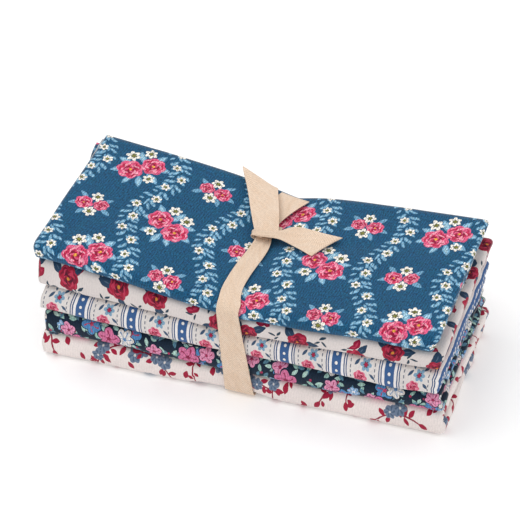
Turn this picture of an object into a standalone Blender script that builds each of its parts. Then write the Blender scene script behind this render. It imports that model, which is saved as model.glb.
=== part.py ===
"""Fat quarter bundle: five folded cotton fat quarters in a stack, tied with one ribbon.

Metres, +Z up. The stack rests on Z = 0. Its rounded front folds face -Y and its
folded ends face +X. Each fat quarter is one sheet, folded three times to eight plies.
"""

import math
from collections import namedtuple

import bmesh
import bpy
from mathutils import Vector

MM = 0.001

# ---------------------------------------------------------------- driving dimensions
FOLDED_LENGTH = 275 * MM  # along X, half of a fat quarter's 0.55 m edge
FOLDED_DEPTH = 129 * MM  # along Y, a quarter of its 0.50 m edge with the slack of its folds
PLY_THICKNESS = 1.0 * MM  # one ply of cotton and the air beside it
PLY_PITCH = 2.1 * MM  # ply to ply, before the stack is pressed
TOUCHING_GAP = 0.45 * MM  # between two pieces that touch, at the creases that they share

RIBBON_THICKNESS = 1.0 * MM
RIBBON_CLEARANCE = 2.0 * MM  # from the cloths' edges to the ribbon's middle, front and back
FRONT_LIFT = 1.6 * MM  # from the top cloth to the ribbon's middle, where it lies on it
RIBBON_BED = 1.7 * MM  # how far the lowest cloth stands off the ground over the ribbon

VALLEY_FRONT_X = 2 * MM  # where the stack is pressed lowest, at its front
VALLEY_BACK_X = 4 * MM  # and at its back
VALLEY_BEND = 16 * MM  # how softly the stack bends there
LEFT_FULLNESS = 0.65  # below 1, the cloths swell between the ribbon and their ends
RIGHT_FULLNESS = 0.45
FRONT_SQUARENESS = 2.7  # 2 is a half circle, and more has flatter fronts and tighter corners
END_SQUARENESS = 2.3
MIDDLE_Y = 2 * MM  # from the middle of the cloths to the middle of the whole bundle
UNDER_X = -5 * MM  # where the ribbon runs under the stack, on average
TIE_DRAW_IN = 0.03  # share of the depth that the ribbon draws in

# ---------------------------------------------------------------- tables
# Heights of the surfaces between the cloths, in millimetres, from the ground up.
Level = namedtuple("Level", "left_end under_ribbon right_end")
LEVELS = (
    Level(0, 0, 0),
    Level(19, 17.5, 20.5),
    Level(37, 33, 36.5),
    Level(58.5, 50, 58),
    Level(82, 64.5, 72.5),
    Level(95, 74, 85.5),
)

# The cloths from the ground up: offsets in millimetres, turn in degrees seen from above.
Cloth = namedtuple("Cloth", "name colour shift_x shift_y turn longer")
CLOTHS = (
    Cloth("fat_quarter_cream_branches", (0.80, 0.74, 0.67), 0.5, 0.0, 0.9, 4),
    Cloth("fat_quarter_navy_floral", (0.03, 0.05, 0.12), 1.5, 0.0, 0.4, 0),
    Cloth("fat_quarter_striped", (0.55, 0.60, 0.68), 2.5, -0.4, -0.2, -1),
    Cloth("fat_quarter_cream_roses", (0.78, 0.70, 0.62), 1.0, 0.4, -0.4, 1),
    Cloth("fat_quarter_blue_floral", (0.03, 0.11, 0.22), -1.0, 0.0, -0.3, -1),
)

# Places of the cross creases along X where a cloth bends, in millimetres.
BEND_LINES = (-100, -66, -38, -22, -10, 0, 6, 14, 26, 46, 84)
FOLD_STEPS = 4  # facets round a half turn
RUN_STEPS = 3  # facets along a flat run from back to front

# The ribbon's centre line over the top of the stack, in millimetres. `lift` is its height
# over the cloth, `facing` turns its width about Z, and `tilt` raises the width's far side.
TieStation = namedtuple("TieStation", "x y lift width facing tilt")
RIGHT_TAIL_TO_BACK = (
    TieStation(40.5, 8.0, 2.8, 25.5, 54, 5),
    TieStation(32, 8.8, 2.8, 21, 78, 5),
    TieStation(25, 10.0, 3.0, 19.5, 92, 5),
    TieStation(18, 11.0, 3.8, 17.5, 94, 4),
    TieStation(11, 12.0, 4.4, 13, 96, 0),
    TieStation(4, 13.0, 4.2, 7, 120, 0),
    TieStation(0, 11.5, 3.6, 8, 170, 0),
    TieStation(-1.5, 8.5, 3.6, 15, 190, 0),
    TieStation(-1.8, 5.5, 5.6, 17, 194, 0),
    TieStation(-2.6, 7.6, 7.8, 18, 197, 0),
    TieStation(-5.3, 17, 8.0, 18, 201, 0),
    TieStation(-9.4, 28, 6.8, 18.5, 203, 0),
    TieStation(-15.0, 41, 5.4, 20, 203, 5),
    TieStation(-20.5, 54, 4.4, 21.5, 198, 10),
    TieStation(-24.5, 62, 3.2, 26, 184, 14),
    TieStation(-26.5, 66.6, 1.4, 30, 174, 16),
    TieStation(-27.3, 69.2, -3.0, 30, 174, 14),
    TieStation(-27.0, 69.8, -11.0, 24, 178, 6),
)
FRONT_TO_LEFT_TAIL = (
    TieStation(-6.5, -50, 1.7, 13.5, 180, 10),
    TieStation(-7.0, -38, 1.7, 12.5, 180, 10),
    TieStation(-5.5, -22, 1.7, 12.5, 178, 10),
    TieStation(-3.8, -6, 1.7, 12.5, 176, 10),
    TieStation(-3.0, 6, 1.7, 11, 172, 9),
    TieStation(-5.5, 17, 1.7, 11, 163, 9),
    TieStation(-7.5, 26, 1.9, 16, 157, 10),
    TieStation(-5.0, 38, 2.8, 19.5, 156, 9),
    TieStation(-1.0, 48, 3.6, 20, 158, 5),
    TieStation(2.4, 56, 4.2, 21.5, 172, 3),
)

# Where the ribbon turns round the stack's edges, in the order of its run. `side` is 1 at the
# back and -1 at the front, and `level` is the level whose edge it turns round, 0 for the
# ground. `first` and `last` are angles in degrees from +Y over +Z, and the rest is as above.
Corner = namedtuple("Corner", "side level radius first last facets x facing width tilt")
CORNERS = (
    Corner(1, 0, 3.5, 0, -90, 3, -12, 182, 20, 0),
    Corner(-1, 0, 6, -90, -180, 4, 2, 180, 20, 0),
    Corner(-1, 5, 6, 180, 90, 4, -4, 180, 15, 10),
)


def half_thickness():
    """From the middle of a folded cloth to the centre of its outermost ply."""
    return 3.5 * PLY_PITCH


def squared(turn, squareness):
    """Sine and cosine of a turn round a rounded square."""
    power = 2 / squareness
    sine, cosine = math.sin(turn), math.cos(turn)
    return math.copysign(abs(sine) ** power, sine), math.copysign(abs(cosine) ** power, cosine)


# ---------------------------------------------------------------- the shape of the stack
def valley_x(y):
    """Where the stack is pressed lowest at this depth."""
    share = y / FOLDED_DEPTH + 0.5
    return VALLEY_FRONT_X + share * (VALLEY_BACK_X - VALLEY_FRONT_X)


def ribbon_bed(x):
    """Height of the lowest cloth over the ribbon that runs beneath it, fading to the ground."""
    flat, end = 19 * MM, 33 * MM
    away = abs(x - UNDER_X)
    share = min(1.0, max(0.0, (end - away) / (end - flat)))
    return RIBBON_BED * share * share * (3 - 2 * share)


def level_height(index, x, y):
    """Height of a surface between two cloths: a soft V whose foot is under the ribbon."""
    if index == 0:
        return ribbon_bed(x)
    level = LEVELS[index]
    away = x - valley_x(y)
    side = -1 if away < 0 else 1
    end = level.left_end if away < 0 else level.right_end
    fullness = LEFT_FULLNESS if away < 0 else RIGHT_FULLNESS
    reach = FOLDED_LENGTH / 2 - side * valley_x(y)

    def bowl(distance):
        return math.hypot(distance, VALLEY_BEND) - VALLEY_BEND

    rise = (bowl(away) / bowl(reach)) ** fullness
    return (level.under_ribbon + (end - level.under_ribbon) * rise) * MM


def settle(point, index):
    """Moves a point of a flat folded cloth to its place in the tied stack."""
    cloth = CLOTHS[index]
    turn = math.radians(cloth.turn)
    x = point.x * math.cos(turn) - point.y * math.sin(turn) + cloth.shift_x * MM
    y = point.x * math.sin(turn) + point.y * math.cos(turn) + cloth.shift_y * MM
    away = (x - valley_x(y)) / VALLEY_BEND
    y *= 1 - TIE_DRAW_IN / (1 + away * away)
    skin = (TOUCHING_GAP + PLY_THICKNESS) / 2
    floor = level_height(index, x, y) + (skin if index else PLY_THICKNESS / 2)
    ceiling = level_height(index + 1, x, y) - skin
    share = (point.z / half_thickness() + 1) / 2
    return Vector((x, y, floor + share * (ceiling - floor)))


# ---------------------------------------------------------------- one folded fat quarter
def pack_path(place):
    """Middle of a four-ply pack, as it runs back to front, round the front fold and back.

    Returns (y, z, outward_y, outward_z) for a distance along the path.
    """
    radius = 2 * PLY_PITCH
    fold_y = -FOLDED_DEPTH / 2 + half_thickness() + PLY_THICKNESS / 2
    if place <= 0:
        return fold_y - place, radius, 0.0, 1.0
    turn = place / radius
    if turn < math.pi:
        sine, cosine = squared(turn, FRONT_SQUARENESS)
        return fold_y - radius * sine, radius * cosine, -sine, cosine
    return fold_y + place - math.pi * radius, -radius, 0.0, -1.0


def sheet_rows():
    """(place along the pack, distance from its middle) for each row across the sheet."""
    radius = 2 * PLY_PITCH
    outer, inner = 1.5 * PLY_PITCH, 0.5 * PLY_PITCH
    middle, small = (outer + inner) / 2, (outer - inner) / 2
    front_arc = math.pi * radius
    run = FOLDED_DEPTH - 2 * PLY_THICKNESS - half_thickness() - small
    places = [-run * (1 - i / RUN_STEPS) for i in range(RUN_STEPS)]
    places += [front_arc * i / FOLD_STEPS for i in range(FOLD_STEPS + 1)]
    places += [front_arc + run * (i + 1) / RUN_STEPS for i in range(RUN_STEPS)]
    rows = [(place, outer) for place in places]
    for i in range(1, FOLD_STEPS):
        turn = math.pi * i / FOLD_STEPS
        rows.append((places[-1] + small * math.sin(turn), middle + small * math.cos(turn)))
    rows += [(place, inner) for place in reversed(places)]
    return rows


def sheet_columns(longer):
    """(x, turn round the end fold) for each column along the sheet."""
    fold_x = FOLDED_LENGTH / 2 - 1.5 * PLY_PITCH - PLY_THICKNESS / 2 + longer / 2
    run = [-FOLDED_LENGTH / 2 - longer / 2] + [x * MM for x in BEND_LINES]
    columns = [(x, 0.0) for x in run]
    columns += [(fold_x, math.pi * i / FOLD_STEPS) for i in range(FOLD_STEPS + 1)]
    columns += [(x, math.pi) for x in reversed(run)]
    return columns


def folded_point(column, row):
    """Place of one point of the sheet in the flat folded cloth."""
    x, end_turn = column
    place, distance = row
    y, z, out_y, out_z = pack_path(place)
    sine, cosine = squared(end_turn, END_SQUARENESS)
    offset = distance * cosine
    return Vector((x + distance * sine, y + out_y * offset, z + out_z * offset))


def fabric_material(name, colour, roughness):
    material = bpy.data.materials.new(name)
    material.use_nodes = True
    shader = material.node_tree.nodes["Principled BSDF"]
    shader.inputs["Base Color"].default_value = (*colour, 1.0)
    shader.inputs["Roughness"].default_value = roughness
    shader.inputs["Metallic"].default_value = 0.0
    return material


def mapped_sheet(name, columns, rows, place, thickness, material, collection):
    """A grid whose points are moved by place(column, row), given its thickness."""
    last_column, last_row = len(columns) - 1, len(rows) - 1
    work = bmesh.new()
    bmesh.ops.create_grid(work, x_segments=last_column, y_segments=last_row, size=1)
    for vertex in work.verts:
        column = columns[round((vertex.co.x + 1) / 2 * last_column)]
        row = rows[round((vertex.co.y + 1) / 2 * last_row)]
        vertex.co = place(column, row)
    mesh = bpy.data.meshes.new(name)
    work.to_mesh(mesh)
    work.free()
    mesh.materials.append(material)
    mesh.shade_smooth()
    sheet = bpy.data.objects.new(name, mesh)
    collection.objects.link(sheet)
    sheet.location.y = -MIDDLE_Y
    shell = sheet.modifiers.new("thickness", "SOLIDIFY")
    shell.thickness = thickness
    shell.offset = 0
    return sheet


def add_cloth(index, collection):
    cloth = CLOTHS[index]

    def place(column, row):
        return settle(folded_point(column, row), index)

    return mapped_sheet(
        cloth.name,
        sheet_columns(cloth.longer * MM),
        sheet_rows(),
        place,
        PLY_THICKNESS,
        fabric_material("printed_cotton_" + cloth.name, cloth.colour, 0.85),
        collection,
    )


# ---------------------------------------------------------------- the ribbon
RibbonStation = namedtuple("RibbonStation", "centre across")


def top_station(tie):
    """A station of the ribbon on top of the stack."""
    x, y = tie.x * MM, tie.y * MM
    z = level_height(len(CLOTHS), x, y) + tie.lift * MM
    turn, tilt = math.radians(tie.facing), math.radians(tie.tilt)
    across = Vector((math.cos(turn) * math.cos(tilt), math.sin(turn) * math.cos(tilt), math.sin(tilt)))
    return RibbonStation(Vector((x, y, z)), across * tie.width * MM / 2)


def around_stations():
    """The ribbon's way down the back, under the stack and up the front."""
    reach = FOLDED_DEPTH / 2 * (1 - TIE_DRAW_IN) + RIBBON_CLEARANCE
    stations = []
    for corner in CORNERS:
        radius = corner.radius * MM
        y = corner.side * (reach - radius)
        z = RIBBON_THICKNESS / 2 + radius
        if corner.level:
            top = level_height(corner.level, corner.x * MM, corner.side * FOLDED_DEPTH / 2)
            z = top + FRONT_LIFT - radius
        facing = math.radians(corner.facing)
        for i in range(corner.facets + 1):
            share = i / corner.facets
            angle = math.radians(corner.first + (corner.last - corner.first) * share)
            tilt = math.radians(corner.tilt * share)
            across = Vector((math.cos(facing), math.sin(facing), math.tan(tilt)))
            centre = Vector((corner.x * MM, y + radius * math.cos(angle), z + radius * math.sin(angle)))
            stations.append(RibbonStation(centre, across * corner.width * MM / 2))
    return stations


def ribbon_stations():
    stations = [top_station(tie) for tie in RIGHT_TAIL_TO_BACK]
    stations += around_stations()
    stations += [top_station(tie) for tie in FRONT_TO_LEFT_TAIL]
    return stations


def add_ribbon(collection):
    def place(side, station):
        return station.centre + station.across * side

    return mapped_sheet(
        "ribbon_tie",
        (-1, 0, 1),
        ribbon_stations(),
        place,
        RIBBON_THICKNESS,
        fabric_material("cotton_ribbon", (0.82, 0.66, 0.50), 0.8),
        collection,
    )


def main():
    for old in list(bpy.data.objects):
        bpy.data.objects.remove(old)
    bundle = bpy.data.collections.new("fat_quarter_bundle")
    bpy.context.scene.collection.children.link(bundle)
    for index in range(len(CLOTHS)):
        add_cloth(index, bundle)
    add_ribbon(bundle)


main()
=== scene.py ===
"""Looks of a fat quarter bundle: five folded printed cottons in a stack, tied with a ribbon.

Metres, +Z up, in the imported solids' own frame. The rounded front folds face -Y and the
folded ends face +X. Every sheet is laid on the folds of the solid that it stands for.
"""

from collections import namedtuple
from math import copysign, cos, exp, hypot, pi, radians, sin, tan, tau

import bmesh
import bpy
from mathutils import Matrix, Vector, noise


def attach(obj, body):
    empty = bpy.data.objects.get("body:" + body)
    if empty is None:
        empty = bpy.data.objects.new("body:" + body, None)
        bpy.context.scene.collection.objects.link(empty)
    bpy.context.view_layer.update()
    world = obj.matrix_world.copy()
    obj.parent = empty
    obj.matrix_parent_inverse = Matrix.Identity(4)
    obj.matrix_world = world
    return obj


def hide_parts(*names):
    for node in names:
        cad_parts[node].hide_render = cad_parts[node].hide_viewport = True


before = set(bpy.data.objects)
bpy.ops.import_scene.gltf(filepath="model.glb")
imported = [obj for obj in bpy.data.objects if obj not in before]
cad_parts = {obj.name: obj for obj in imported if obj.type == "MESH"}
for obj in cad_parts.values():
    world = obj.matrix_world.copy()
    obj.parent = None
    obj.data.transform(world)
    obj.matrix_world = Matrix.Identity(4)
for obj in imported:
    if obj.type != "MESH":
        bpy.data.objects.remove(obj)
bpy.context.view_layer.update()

MM = 0.001

# ---- sizes that the solids have too
FOLDED_LENGTH = 275 * MM
FOLDED_DEPTH = 129 * MM
PLY_SPACE = 1.0 * MM  # one ply and its air, as the solids count it
PLY_PITCH = 2.1 * MM
PLY_SPAN = 7 * PLY_PITCH  # from the lowest ply to the top one
FOLD_RADIUS = 2 * PLY_PITCH  # of the front fold, to the middle of the four plies round it
OUTER_PLY, INNER_PLY = 1.5 * PLY_PITCH, 0.5 * PLY_PITCH  # from that middle
RIBBON_BED = 1.7 * MM  # how far the lowest cloth stands off the ground over the ribbon
VALLEY_FRONT_X = 2 * MM  # where the stack is pressed lowest, at its front
VALLEY_BACK_X = 4 * MM  # and at its back
VALLEY_BEND = 16 * MM  # how softly the stack bends there
LEFT_FULLNESS = 0.65  # below 1, the cloths swell between the ribbon and their ends
RIGHT_FULLNESS = 0.45
FRONT_SQUARENESS = 2.7  # 2 is a half circle, and more has flatter fronts and tighter corners
END_SQUARENESS = 2.3
MIDDLE_Y = 2 * MM  # from the middle of the cloths to the middle of the whole bundle
UNDER_X = -5 * MM  # where the ribbon runs under the stack
TIE_DRAW_IN = 0.03  # share of the depth that the ribbon draws in

# Heights of the surfaces between the cloths, in millimetres, from the ground up.
Level = namedtuple("Level", "left_end under_ribbon right_end")
LEVELS = (
    Level(0, 0, 0),
    Level(19, 17.5, 20.5),
    Level(37, 33, 36.5),
    Level(58.5, 50, 58),
    Level(82, 64.5, 72.5),
    Level(95, 74, 85.5),
)

# ---- sizes of the real cloth
CUT_WIDTH = 0.50
CUT_LENGTH = 0.55
COTTON_THICKNESS = 0.45 * MM
TAPE_THICKNESS = 0.55 * MM
TAPE_WIDTH = 20 * MM
TOUCHING_GAP = 0.35 * MM  # between two cloths
BACK_SLACK = 1.5 * PLY_SPACE  # from the folds at the back to the cloth's full depth
RIBBON_CLEARANCE = 1.4 * MM  # from the cloths' edges to the tape's middle, front and back

# ---- how finely a cloth is meshed
COLUMN_STEP = 3.0 * MM
ROW_STEP = 3.6 * MM
FRONT_STEPS = 14
END_STEPS = 10
BACK_FOLD_STEPS = 6

# The cloths from the ground up: offsets in millimetres, turn in degrees seen from above.
Cloth = namedtuple("Cloth", "name slot shift_x shift_y turn longer")
CLOTHS = (
    Cloth("fat_quarter_cream_branches", "cream_branch_cotton", 0.5, 0.0, 0.9, 4),
    Cloth("fat_quarter_navy_floral", "navy_floral_cotton", 1.5, 0.0, 0.4, 0),
    Cloth("fat_quarter_striped", "striped_cotton", 2.5, -0.4, -0.2, -1),
    Cloth("fat_quarter_cream_roses", "cream_rose_cotton", 1.0, 0.4, -0.4, 1),
    Cloth("fat_quarter_blue_floral", "blue_floral_cotton", -1.0, 0.0, -0.3, -1),
)


# ---- small helpers
def eased(share):
    """0 to 1 with soft ends."""
    share = min(1.0, max(0.0, share))
    return share * share * (3 - 2 * share)


def squared(turn, squareness):
    """Sine and cosine of a turn round a rounded square."""
    power = 2 / squareness
    sine, cosine = sin(turn), cos(turn)
    return copysign(abs(sine) ** power, sine), copysign(abs(cosine) ** power, cosine)


def linear(code):
    """An sRGB hex colour as linear RGBA."""
    parts = [int(code[i : i + 2], 16) / 255 for i in (0, 2, 4)]
    return tuple(c / 12.92 if c <= 0.04045 else ((c + 0.055) / 1.055) ** 2.4 for c in parts) + (1.0,)


Zone = namedtuple("Zone", "start length")


def reached(zone, distance):
    """0 before a zone, whose sizes are in millimetres, and 1 past it."""
    return eased((distance / MM - zone.start) / zone.length)


def steps(start, end, step):
    """Evenly spaced values from start up to, and without, end."""
    count = max(1, round(abs(end - start) / step))
    return [start + (end - start) * i / count for i in range(count)]


# ---- the shape of the stack
def valley_x(y):
    """Where the stack is lowest, which runs a little aslant."""
    share = y / FOLDED_DEPTH + 0.5
    return VALLEY_FRONT_X + share * (VALLEY_BACK_X - VALLEY_FRONT_X)


BED_EDGE = Zone(19, 14)  # where the cloth comes down beside the ribbon, from its middle


def ribbon_bed(x):
    """Height of the lowest cloth over the ribbon beneath it, fading to the ground."""
    return RIBBON_BED * (1 - reached(BED_EDGE, abs(x - UNDER_X)))


# Soft troughs and ridges of the surfaces between the cloths, counted from the ground, in
# millimetres: the middle of each, its direction, half its length and width, and its height.
Crease = namedtuple("Crease", "level x y turn length width height")
CREASES = (
    Crease(5, -30, -34, 62, 34, 6, -1.0),
    Crease(5, -46, -22, 40, 30, 7, 0.8),
    Crease(5, -24, 22, 132, 30, 6, -0.8),
    Crease(5, 24, -40, 116, 28, 6, -0.9),
    Crease(5, 38, -24, 140, 34, 8, 0.8),
    Crease(5, 66, 20, 20, 46, 7, -0.7),
    Crease(5, -92, 10, 96, 56, 6, 0.7),
    Crease(5, -118, -20, 84, 40, 5, -0.6),
    Crease(5, 112, -8, 84, 52, 6, 0.8),
    Crease(4, -74, -60, 84, 30, 15, 0.9),
    Crease(4, 44, -60, 98, 30, 13, -0.8),
    Crease(4, 92, -60, 80, 30, 12, 0.8),
    Crease(4, 132, 12, 4, 22, 12, -0.9),
    Crease(3, -104, -60, 92, 30, 12, -0.8),
    Crease(3, -40, -60, 86, 30, 14, 0.8),
    Crease(3, 74, -60, 94, 30, 12, 0.8),
    Crease(3, 132, -18, 176, 22, 11, 0.9),
    Crease(3, 132, 34, 8, 22, 10, -0.9),
    Crease(2, -66, -60, 88, 30, 13, -0.8),
    Crease(2, 34, -60, 96, 30, 12, 0.8),
    Crease(2, 108, -60, 84, 30, 12, -0.7),
    Crease(2, 132, 2, 176, 22, 12, 0.9),
    Crease(1, -90, -60, 94, 30, 14, 0.8),
    Crease(1, 58, -60, 88, 30, 13, -0.8),
    Crease(1, 132, -30, 4, 22, 12, 0.9),
    Crease(1, 132, 22, 176, 22, 11, -0.8),
)


# The cloths' own unevenness: the length and width of its bumps and their height, in
# millimetres, and where each cloth takes its part of the noise.
Swell = namedtuple("Swell", "length width height first apart")
SWELLS = (
    Swell(55, 45, 1.1, 0, 7.3),
    Swell(22, 30, 0.35, 40, 3.1),
)
CREASE_FADE = 1.3  # above 1, a crease keeps its whole height in its middle


def soft_swell(index, x, y):
    """The cloths' own unevenness, up to a millimetre, and their main creases."""
    height = 0.0
    for swell in SWELLS:
        spot = x / (swell.length * MM), y / (swell.width * MM), index * swell.apart + swell.first
        height += swell.height * noise.noise(Vector(spot))
    for crease in CREASES:
        if crease.level == index:
            turn = radians(crease.turn)
            right, away = x / MM - crease.x, y / MM - crease.y
            along = right * cos(turn) + away * sin(turn)
            across = away * cos(turn) - right * sin(turn)
            if abs(along) < crease.length:
                bell = exp(-((across / crease.width) ** 2))
                fade = CREASE_FADE * (1 - abs(along) / crease.length)
                height += crease.height * bell * eased(fade)
    return height * MM


def level_height(index, x, y):
    """Height of a surface between two cloths: a soft V whose foot is under the ribbon."""
    if index == 0:
        return ribbon_bed(x)
    level = LEVELS[index]
    away = x - valley_x(y)
    side = -1 if away < 0 else 1
    end = level.left_end if away < 0 else level.right_end
    fullness = LEFT_FULLNESS if away < 0 else RIGHT_FULLNESS
    reach = FOLDED_LENGTH / 2 - side * valley_x(y)

    def bowl(distance):
        return hypot(distance, VALLEY_BEND) - VALLEY_BEND

    rise = (bowl(away) / bowl(reach)) ** fullness
    return (level.under_ribbon + (end - level.under_ribbon) * rise) * MM + soft_swell(index, x, y)


def settle(x, y, z, index):
    """Moves a point of a flat folded cloth to its place in the tied stack."""
    cloth = CLOTHS[index]
    turn = radians(cloth.turn)
    x, y = (
        x * cos(turn) - y * sin(turn) + cloth.shift_x * MM,
        x * sin(turn) + y * cos(turn) + cloth.shift_y * MM,
    )
    away = (x - valley_x(y)) / VALLEY_BEND
    y *= 1 - TIE_DRAW_IN / (1 + away * away)
    skin = (TOUCHING_GAP + COTTON_THICKNESS) / 2
    floor = level_height(index, x, y) + (skin if index else COTTON_THICKNESS / 2)
    ceiling = level_height(index + 1, x, y) - skin
    share = z / PLY_SPAN + 0.5
    return Vector((x, y - MIDDLE_Y, floor + share * (ceiling - floor)))


# ---- one folded fat quarter
# A row lies `distance` out from the middle of the four plies that turn round the front fold,
# and its `ply` counts from the sheet's first edge. A column has its `turn` round the end fold.
Row = namedtuple("Row", "y out_y out_z distance ply")
Column = namedtuple("Column", "x turn")


def cloth_rows():
    """The rows across the sheet: the outer ply round the front fold, then the inner one."""
    middle, radius = (OUTER_PLY + INNER_PLY) / 2, (OUTER_PLY - INNER_PLY) / 2
    fold_y = -FOLDED_DEPTH / 2 + FOLD_RADIUS + OUTER_PLY + PLY_SPACE / 2
    back_y = FOLDED_DEPTH / 2 - BACK_SLACK - radius

    def pack(distance, upper, lower):
        run = steps(back_y, fold_y, ROW_STEP)
        rows = [Row(y, 0.0, 1.0, distance, upper) for y in run]
        for i in range(FRONT_STEPS + 1):
            sine, cosine = squared(pi * i / FRONT_STEPS, FRONT_SQUARENESS)
            rows.append(Row(fold_y, -sine, cosine, distance, upper if cosine > 0 else lower))
        return rows + [Row(y, 0.0, -1.0, distance, lower) for y in reversed(run)]

    fold = []
    for i in range(1, BACK_FOLD_STEPS):
        turn = pi * i / BACK_FOLD_STEPS
        y, distance = back_y + radius * sin(turn), middle + radius * cos(turn)
        fold.append(Row(y, 0.0, -1.0, distance, 1))
    return pack(OUTER_PLY, 0, 1) + fold + pack(INNER_PLY, 3, 2)[::-1]


def cloth_columns(longer):
    """The columns along the sheet: the upper plies, round the end fold, the plies under them."""
    left = -FOLDED_LENGTH / 2 - longer / 2
    fold_x = FOLDED_LENGTH / 2 - OUTER_PLY - PLY_SPACE / 2 + longer / 2
    run = steps(left, fold_x, COLUMN_STEP)
    columns = [Column(x, 0.0) for x in run]
    columns += [Column(fold_x, pi * i / END_STEPS) for i in range(END_STEPS + 1)]
    return columns + [Column(x, pi) for x in reversed(run)]


# How far the plies stick out at the raw left end, and stay in at the back, in millimetres.
LEFT_STAGGER = (0, 1.5, 2, 4, 1, 4, 2, 1)
BACK_STAGGER = (0, 8, 1, 3, 0.5, 1.5, 3, 2)

# How each cloth lies at its folded end, in millimetres: how much further the upper and the lower
# pair of folds reach, how far the back corner stays in, how far the upper folds swing out
# there, how far the lower folds stick out at the other end's back corner, and how far its
# lowest ply sticks out at that end all along.
FoldedEnd = namedtuple("FoldedEnd", "upper lower corner_in corner_out left_out left_lean")
FOLDED_ENDS = (
    FoldedEnd(-0.5, 1.2, 15, 3.6, 1, 0),
    FoldedEnd(-0.8, 0.6, 11, 0, -1, -0.8),
    FoldedEnd(0.4, -1.4, 6.5, 0, 1.5, 4.6),
    FoldedEnd(0.8, -1.2, 2.5, 0, -1, -0.6),
    FoldedEnd(0.3, -1.8, 0, 0, 4.5, -1.6),
)

# Where each part of a cloth begins, from its middle, and how softly, in millimetres. The left
# end and the loose plies count along -X, and the front fold along -Y.
LEFT_END = Zone(40, 95)
LOOSE_PLIES = Zone(-110, 90)  # only the folded end keeps its plies together
RIGHT_END = Zone(96, 40)
PRESSED_END = Zone(112, 22)  # the very end, pressed thinner
FRONT_FOLD = Zone(45, 18)
BACK_EDGES = Zone(8, 52)
SWUNG_CORNER = Zone(-60, 110)  # along Y, at the right end
LEFT_CORNER = Zone(20, 44)  # along Y, at the left end
TUCKED_CORNER = Zone(30, 105)  # along X, at the back
PRESSED_SHARE = 0.13

# How a cloth's edges and folds waver: the bumps' length along them and through the plies (on
# the end folds, in pairs of folds), where each cloth takes its part of the noise, and their
# height in millimetres.
Waver = namedtuple("Waver", "along through apart height")
RAGGED_LEFT = Waver(40 * MM, 6 * MM, 5.1, 1.3)
CREASED_END = Waver(24 * MM, 1 / 3.7, 4.4, 1.5)
FINE_END = Waver(9 * MM, 1 / 5.9, 8.2, 0.5)
WAVY_FRONT = Waver(45 * MM, 12 * MM, 9.7, 0.9)
UNEVEN_BACK = Waver(50 * MM, 3 * MM, 2.9, 0.9)
CREASE_LIFT, FINE_LIFT = 0.3, 0.5  # how much of the end folds' waver goes upwards too


def wavering(waver, along, through, index):
    """How far out a cloth's edge or fold wavers, in millimetres."""
    spot = along / waver.along, through / waver.through, index * waver.apart
    return waver.height * noise.noise(Vector(spot))


def folded_point(column, row, index):
    """Place of one point of the sheet in the folded cloth, before the stack is tied."""
    end = FOLDED_ENDS[index]
    sine, cosine = squared(column.turn, END_SQUARENESS)
    x = column.x + row.distance * sine
    pressed = reached(PRESSED_END, x)
    reach = FOLD_RADIUS + row.distance * cosine * (1 - PRESSED_SHARE * pressed)
    y = row.y + row.out_y * reach
    z = row.out_z * reach

    loose = reached(LOOSE_PLIES, -x)

    def of_ply(values):
        upper, lower = values[row.ply * 2], values[row.ply * 2 + 1]
        return upper + (lower - upper) * loose * (1 - cosine) / 2

    left, right = reached(LEFT_END, -x), reached(RIGHT_END, x)
    front, back = reached(FRONT_FOLD, -y), reached(BACK_EDGES, y)
    pair = eased(row.out_z * 0.5 + 0.5)  # 1 for the upper pair of folds, 0 for the lower
    ragged = wavering(RAGGED_LEFT, y, z, index)
    creased = wavering(CREASED_END, y, pair, index)
    fine = wavering(FINE_END, y, pair, index)
    z += pressed * (CREASE_LIFT * creased + FINE_LIFT * fine) * MM
    x -= left * (ragged + of_ply(LEFT_STAGGER) * back) * MM
    x += right * (end.lower + (end.upper - end.lower) * pair + creased + fine) * MM
    x += right * end.corner_out * pair * reached(SWUNG_CORNER, y) * MM
    x -= left * end.left_out * (1 - pair) * reached(LEFT_CORNER, y) * MM
    x -= left * end.left_lean * (0.5 - z / PLY_SPAN) * MM
    y -= front * wavering(WAVY_FRONT, x, z, index) * MM
    y += back * (wavering(UNEVEN_BACK, x, z, index) - of_ply(BACK_STAGGER)) * MM
    y -= back * end.corner_in * reached(TUCKED_CORNER, x) * MM
    return x, y, z


def sheet_mesh(columns, rows, place):
    """A grid whose points are moved by place(column, row), and each point's column and row."""
    last_column, last_row = len(columns) - 1, len(rows) - 1
    work = bmesh.new()
    bmesh.ops.create_grid(work, x_segments=last_column, y_segments=last_row, size=1)
    spots = {}
    for vertex in work.verts:
        i = round((vertex.co.x + 1) / 2 * last_column)
        j = round((vertex.co.y + 1) / 2 * last_row)
        spots[vertex] = i, j
        vertex.co = place(columns[i], rows[j])
    return work, spots


def lengths_along(points):
    """How far along a line each of its points lies."""
    total, found = 0.0, [0.0]
    for one, two in zip(points, points[1:]):
        total += (two - one).length
        found.append(total)
    return found


def lay_flat(work, spots, flat_spot):
    """Shades a sheet smooth and gives it the flat cloth, in metres, as its UV map."""
    flat = work.loops.layers.uv.new("flat_cloth")
    for face in work.faces:
        face.smooth = True
        for loop in face.loops:
            loop[flat].uv = flat_spot(*spots[loop.vert])


def add_piece(name, work):
    """Puts a worked mesh into the scene as a piece."""
    mesh = bpy.data.meshes.new(name)
    work.to_mesh(mesh)
    work.free()
    piece = bpy.data.objects.new(name, mesh)
    bpy.context.scene.collection.objects.link(piece)
    return piece


def thicken(piece, thickness):
    """Gives a sheet its thickness, half of it on either side."""
    shell = piece.modifiers.new("thickness", "SOLIDIFY")
    shell.thickness = thickness
    shell.offset = 0
    return shell


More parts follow.
